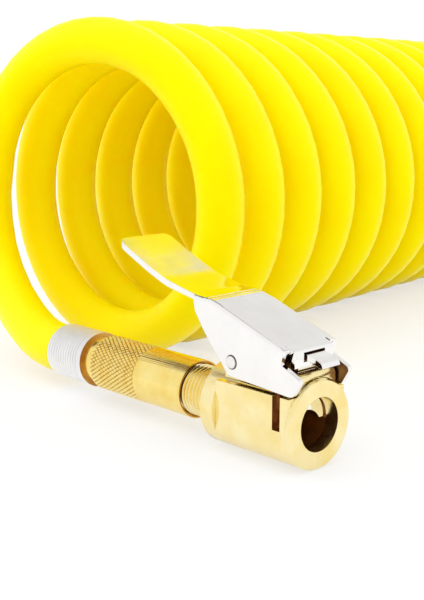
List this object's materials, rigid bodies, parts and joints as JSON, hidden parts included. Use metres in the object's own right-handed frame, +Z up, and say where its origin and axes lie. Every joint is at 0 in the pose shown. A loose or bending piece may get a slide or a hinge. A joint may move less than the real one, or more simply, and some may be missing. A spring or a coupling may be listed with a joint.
{
  "type": "coiled air hose",
  "caption": "Helical recoil air hose with a clip-on tyre-valve chuck worked by a thumb lever at one end and a knurled swivel nut at the other.",
  "frame": {"origin": "centre of the tyre-valve bore's mouth, on the front face of the chuck", "axes": "+X out of the tyre-valve bore along the chuck's axis, +Z up, square to the surface that the hose lies on; the coil lies behind, along +Y"},
  "size_m": [0.1897, 0.2311, 0.079],
  "materials": {
    "hose": "glossy translucent yellow polyurethane",
    "brass": "turned and milled, bright with fine tool lines",
    "nickel": "nickel-plated sheet, bright",
    "aluminium": "crimped, satin",
    "rubber": "moulded black rubber",
    "spring_steel": "plain drawn wire and rod"
  },
  "bodies": {
    "hose": {"hose_coil": "hose", "chuck_hose_tail": "hose", "inlet_hose_tail": "hose", "chuck_ferrule": "aluminium", "inlet_ferrule": "aluminium", "chuck_stem": "brass", "inlet_stem": "brass", "chuck_washer": "rubber", "inlet_washer": "rubber", "chuck_body": "brass", "valve_seal": "rubber", "pin_spring": "spring_steel", "spring_retainer": "brass", "lever_pin": "spring_steel", "lever_spring": "spring_steel"},
    "chuck_nut": {"chuck_nut": "brass"},
    "inlet_nut": {"inlet_nut": "brass"},
    "lever": {"lever": "nickel"},
    "jaw": {"jaw": "nickel"},
    "valve_pin": {"valve_pin": "brass", "pin_seal": "rubber"}
  },
  "joints": [
    {"name": "chuck_nut_turn", "type": "hinge", "parent": "hose", "child": "chuck_nut", "pos_m": [-0.043, 0, 0], "axis": [1, 0, 0], "continuous": true},
    {"name": "inlet_nut_turn", "type": "hinge", "parent": "hose", "child": "inlet_nut", "pos_m": [-0.1861, 0.20794, -0.0022], "axis": [-0.9932, -0.1167, 0], "continuous": true},
    {"name": "lever_hinge", "type": "hinge", "parent": "hose", "child": "lever", "pos_m": [-0.0144, 0, 0.0092], "axis": [0, -1, 0], "range_deg": [0, 10], "stiffness_Nm_per_rad": 0.06, "springref_deg": -34.38, "deforming": ["lever_spring"]},
    {"name": "jaw_slide", "type": "slide", "parent": "hose", "child": "jaw", "axis": [0, 0, 1], "range_m": [0, 0.00225]},
    {"name": "valve_pin_slide", "type": "slide", "parent": "hose", "child": "valve_pin", "axis": [-1, 0, 0], "range_m": [0, 0.002], "stiffness_N_per_m": 500, "springref_m": -0.002, "deforming": ["pin_spring"]}
  ],
  "couplings": [
    {"joint": "jaw_slide", "follows": "lever_hinge", "m_per_rad": 0.0124}
  ]
}
